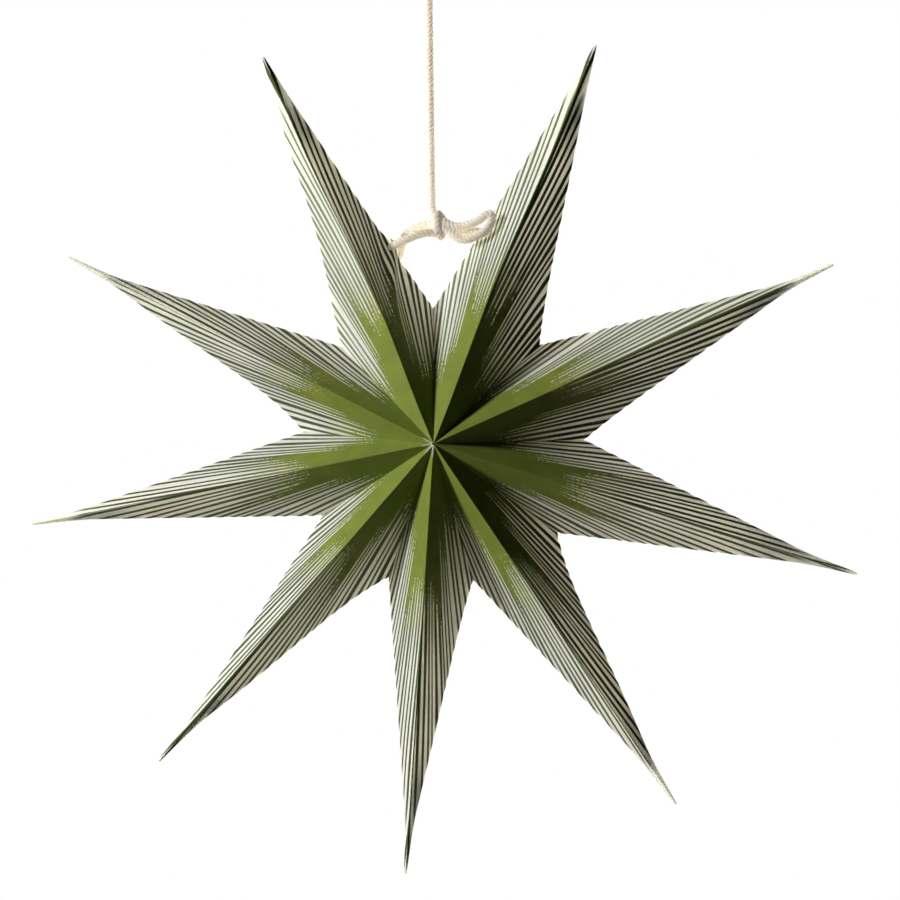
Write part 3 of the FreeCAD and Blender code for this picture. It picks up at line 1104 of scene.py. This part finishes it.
def cotton():
    """Undyed cotton: soft yarns round each ply, with painted shade between them."""
    material, recipe = new_material("cotton_cord")
    along = recipe.attribute("along") / MM
    around = recipe.attribute("around")
    place = recipe.put("ShaderNodeTexCoord", out="Object")
    fluff = recipe.noise(place, 1500.0, 4.0)
    patch = recipe.noise(place, 220.0, 2.0)
    laid = around * 5.0 + along / YARN_LENGTH + (fluff - 0.5) * 0.5
    yarn = recipe.math("SINE", laid * math.tau)
    height = yarn * 0.35 + fluff
    tint = recipe.blend(recipe.step(patch, 0.3, 0.7), COTTON_DARK, COTTON_LIGHT)
    # Painted shade: the grooves between the yarns are coloured darker and browner.
    groove_shade = recipe.step(yarn * 0.5 + fluff, 0.3, -0.2) * 0.5
    tint = recipe.blend(groove_shade, tint, COTTON_GROOVE_SHADE)
    bump = recipe.put(
        "ShaderNodeBump", None, {"Height": height, "Strength": 0.55, "Distance": 0.0003}, "Normal"
    )
    matt = recipe.put("ShaderNodeBsdfPrincipled", None, {
        "Base Color": tint, "Roughness": 0.95, "Normal": bump, "Sheen Weight": 0.3,
        "Specular IOR Level": 0.15,
    })
    glowing = recipe.put("ShaderNodeBsdfTranslucent", None, {"Color": COTTON_GLOW})
    fluffy = recipe.put("ShaderNodeMixShader", None, {0: COTTON_THROUGH, 1: matt, 2: glowing})
    finish_material(recipe, let_light_through(recipe, fluffy, COTTON_SHADOW, COTTON_GLOW))
    return material


cord_finish = cotton()
twist_nodes = twist_tree()
sockets = {
    item.name: item.identifier
    for item in twist_nodes.interface.items_tree if item.in_out == "INPUT"
}
print("the cord's tree has", len(twist_nodes.nodes), "nodes")

# %% [markdown]
# Each stretch is made from its spline and turned into a plain mesh, and its real length is
# printed. The length is measured on the spline itself, with no thickness on it.

# %% Make the cord and its knots
def twisted(name, routes, share=1.0):
    """A piece of cord along each route, and the places of the first route's spline."""
    data = smooth_curve(name, routes)
    line = bpy.data.objects.new(name, data)
    scene.collection.objects.link(line)
    bpy.context.view_layer.update()
    bare = plain_mesh(line)
    path = [vertex.co.copy() for vertex in bare.vertices]
    bpy.data.meshes.remove(bare)
    twist = line.modifiers.new("twist", "NODES")
    twist.node_group = twist_nodes
    twist[sockets["Ply radius"]] = PLY_RADIUS * share * MM
    twist[sockets["Ply offset"]] = PLY_OFFSET * share * MM
    twist[sockets["Twist length"]] = TWIST_LENGTH * MM
    twist[sockets["Step"]] = CORD_STEP * MM
    twist[sockets["Finish"]] = cord_finish
    mesh = plain_mesh(line)
    bpy.data.objects.remove(line)
    piece = bpy.data.objects.new(name, mesh)
    scene.collection.objects.link(piece)
    return piece, path


def walked(path):
    return sum((after - before).length for before, after in zip(path, path[1:]))


for node, routes in KNOTS.items():
    knot, _ = twisted(f"{node}_turns", routes)
    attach(knot, "root")
    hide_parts(node)

FAR_ENDS = {
    "hanging_cord": ("knot", "taut", ["tie_knot", "loop_knot"]),
    "hanging_loop": ("object", "hanging", []),
    "tie_cord_left": ("object", "loose", []),
    "tie_cord_right": ("knot", "loose", ["stop_knot"]),
    "bow_loop": ("object", "loose", []),
}
for node, (far_end, lay, ends) in FAR_ENDS.items():
    piece, path = twisted(f"{node}_plies", [ROUTES[node]], TAUT_SHARE if lay == "taut" else 1.0)
    length = walked(path)
    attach(piece, "root")
    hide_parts(node)
    print(node, round(length / MM, 1), "mm,", len(piece.data.polygons), "faces")

# %% [markdown]
# The strip of paper tape between the two top points shows only as a sliver in their notch.
# Its solid has the right shape and gets a brown matt finish with a fine grain.

# %% Finish the tape
def paper_tape():
    material, recipe = new_material("paper_tape")
    place = recipe.put("ShaderNodeTexCoord", out="Object")
    grain = recipe.noise(place, 1100.0, 4.0)
    patch = recipe.noise(place, 90.0, 2.0)
    tint = recipe.blend(recipe.step(patch, 0.3, 0.7), colour(140, 92, 52), colour(178, 132, 88))
    bump = recipe.put(
        "ShaderNodeBump", None, {"Height": grain, "Strength": 0.3, "Distance": 0.0002}, "Normal"
    )
    surface = recipe.put("ShaderNodeBsdfPrincipled", None, {
        "Base Color": tint, "Roughness": 0.8, "Normal": bump, "Specular IOR Level": 0.3,
    })
    finish_material(recipe, surface)
    return material


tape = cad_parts["closing_tape"]
tape.data.materials.clear()
tape.data.materials.append(paper_tape())
print("tape finished")
